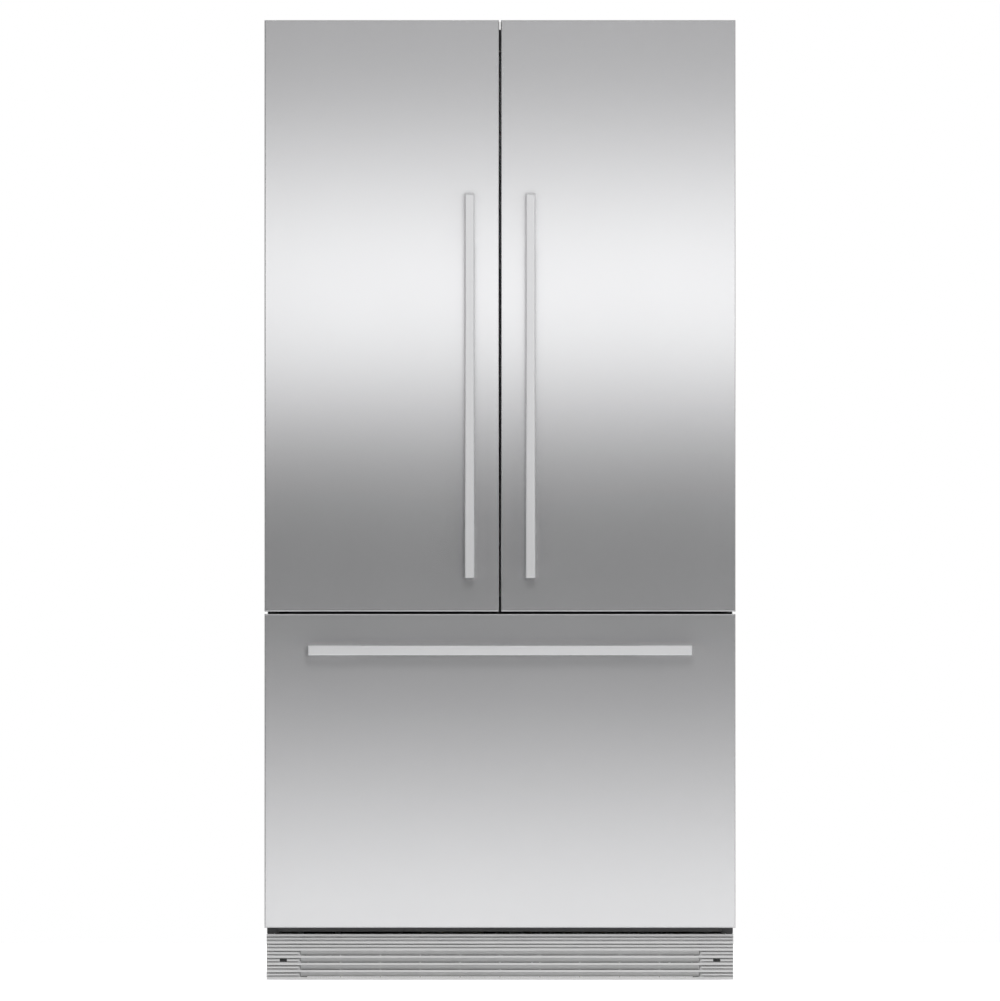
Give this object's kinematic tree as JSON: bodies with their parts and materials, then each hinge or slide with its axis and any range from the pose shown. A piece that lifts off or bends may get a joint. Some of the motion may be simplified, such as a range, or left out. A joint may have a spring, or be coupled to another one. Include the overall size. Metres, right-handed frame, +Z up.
{
  "type": "french door refrigerator",
  "caption": "Built-in refrigerator with paired hinged doors over a pull-out freezer drawer, square bar handles and a louvred toe grille.",
  "frame": {"origin": "on the floor, at the middle of the whole width and depth", "axes": "+X to the right of a person facing the doors, +Y towards the back, +Z up"},
  "size_m": [0.896, 0.655, 1.828],
  "materials": {
    "panel_steel": "horizontally brushed stainless steel",
    "handle_steel": "fine satin stainless steel",
    "cabinet_paint": "fine-texture grey paint",
    "zinc_sheet": "galvanised sheet",
    "rail_paint": "dark satin paint",
    "foam": "rigid foam",
    "white_liner": "satin white formed sheet",
    "cap_plastic": "dark moulded plastic",
    "seal": "black flexible seal",
    "clear_plastic": "clear moulded plastic",
    "frost_plastic": "frosted white plastic",
    "shelf_glass": "tempered glass",
    "trim_metal": "satin anodised",
    "lamp_lens": "opal",
    "control_face": "gloss black",
    "grille_paint": "silver-grey satin paint",
    "fastener_steel": "zinc-plated",
    "slide_zinc": "zinc-plated",
    "mullion_face": "satin grey",
    "foot_plastic": "black",
    "compressor_paint": "black",
    "mount_rubber": "black",
    "coil_metal": "bare fins",
    "machine_plastic": "black moulded",
    "motor_metal": "grey"
  },
  "bodies": {
    "cabinet": {"cabinet_wrap": "cabinet_paint", "cabinet_back": "zinc_sheet", "wall_insulation": "foam", "fresh_food_liner": "white_liner", "freezer_liner": "white_liner", "centre_rail": "rail_paint", "bottom_rail": "rail_paint", "base_frame": "zinc_sheet", "front_feet": "foot_plastic", "toe_grille": "grille_paint", "grille_screws": "fastener_steel", "machine_room_cover": "zinc_sheet", "power_inlet": "machine_plastic", "compressor": "compressor_paint", "compressor_mounts": "mount_rubber", "condenser": "coil_metal", "drain_pan": "machine_plastic", "fan_motors": "motor_metal", "evaporator": "coil_metal", "evaporator_cover": "white_liner", "glass_shelves": "shelf_glass", "shelf_trims": "trim_metal", "crisper_divider": "white_liner", "air_duct_cover": "white_liner", "interior_lights": "lamp_lens", "control_panel": "control_face", "top_hinges": "fastener_steel", "middle_hinges": "fastener_steel", "hinge_pins": "fastener_steel", "cabinet_slide_rails": "slide_zinc"},
    "left_door": {"left_door_panel": "panel_steel", "left_door_core": "foam", "left_door_liner": "white_liner", "left_door_caps": "cap_plastic", "left_door_gasket": "seal", "left_door_handle": "handle_steel", "left_door_bins": "clear_plastic"},
    "right_door": {"right_door_panel": "panel_steel", "right_door_core": "foam", "right_door_liner": "white_liner", "right_door_caps": "cap_plastic", "right_door_gasket": "seal", "right_door_handle": "handle_steel", "right_door_bins": "clear_plastic"},
    "mullion": {"flip_mullion": "mullion_face"},
    "dairy_lid": {"dairy_lid": "clear_plastic"},
    "drawer": {"drawer_panel": "panel_steel", "drawer_core": "foam", "drawer_liner": "white_liner", "drawer_gasket": "seal", "drawer_handle": "handle_steel", "freezer_basket": "frost_plastic", "drawer_slide_rails": "slide_zinc"},
    "middle_rails": {"slide_middle_rails": "slide_zinc"},
    "tray": {"freezer_tray": "frost_plastic"},
    "left_crisper": {"left_crisper": "clear_plastic"},
    "right_crisper": {"right_crisper": "clear_plastic"},
    "rollers": {"rear_rollers": "foot_plastic"},
    "condenser_fan": {"condenser_fan": "machine_plastic"},
    "evaporator_fan": {"evaporator_fan": "machine_plastic"}
  },
  "joints": [
    {"name": "left_door_hinge", "type": "hinge", "parent": "cabinet", "child": "left_door", "pos_m": [-0.43, -0.2445, 1.256], "axis": [0, 0, -1], "range_deg": [0, 110]},
    {"name": "right_door_hinge", "type": "hinge", "parent": "cabinet", "child": "right_door", "pos_m": [0.43, -0.2445, 1.256], "axis": [0, 0, 1], "range_deg": [0, 110]},
    {"name": "mullion_flip", "type": "hinge", "parent": "left_door", "child": "mullion", "pos_m": [-0.022, -0.1985, 1.249], "axis": [0, 0, -1], "range_deg": [0, 90]},
    {"name": "dairy_lid_hinge", "type": "hinge", "parent": "right_door", "child": "dairy_lid", "pos_m": [0.2125, -0.207, 1.636], "axis": [1, 0, 0], "range_deg": [0, 75]},
    {"name": "freezer_drawer_slide", "type": "slide", "parent": "cabinet", "child": "drawer", "axis": [0, -1, 0], "range_m": [0, 0.4]},
    {"name": "middle_rail_slide", "type": "slide", "parent": "cabinet", "child": "middle_rails", "axis": [0, -1, 0], "range_m": [0, 0.2]},
    {"name": "freezer_tray_slide", "type": "slide", "parent": "drawer", "child": "tray", "axis": [0, 1, 0], "range_m": [0, 0.13]},
    {"name": "left_crisper_slide", "type": "slide", "parent": "cabinet", "child": "left_crisper", "axis": [0, -1, 0], "range_m": [0, 0.088]},
    {"name": "right_crisper_slide", "type": "slide", "parent": "cabinet", "child": "right_crisper", "axis": [0, -1, 0], "range_m": [0, 0.088]},
    {"name": "condenser_fan_spin", "type": "hinge", "parent": "cabinet", "child": "condenser_fan", "pos_m": [-0.02, 0.208, 0.106], "axis": [1, 0, 0], "continuous": true},
    {"name": "evaporator_fan_spin", "type": "hinge", "parent": "cabinet", "child": "evaporator_fan", "pos_m": [0, 0.241, 0.59], "axis": [0, 1, 0], "continuous": true},
    {"name": "rear_roller_spin", "type": "hinge", "parent": "cabinet", "child": "rollers", "pos_m": [0, 0.295, 0.02], "axis": [1, 0, 0], "continuous": true}
  ],
  "couplings": [
    {"joint": "middle_rail_slide", "follows": "freezer_drawer_slide", "ratio": 0.5}
  ]
}
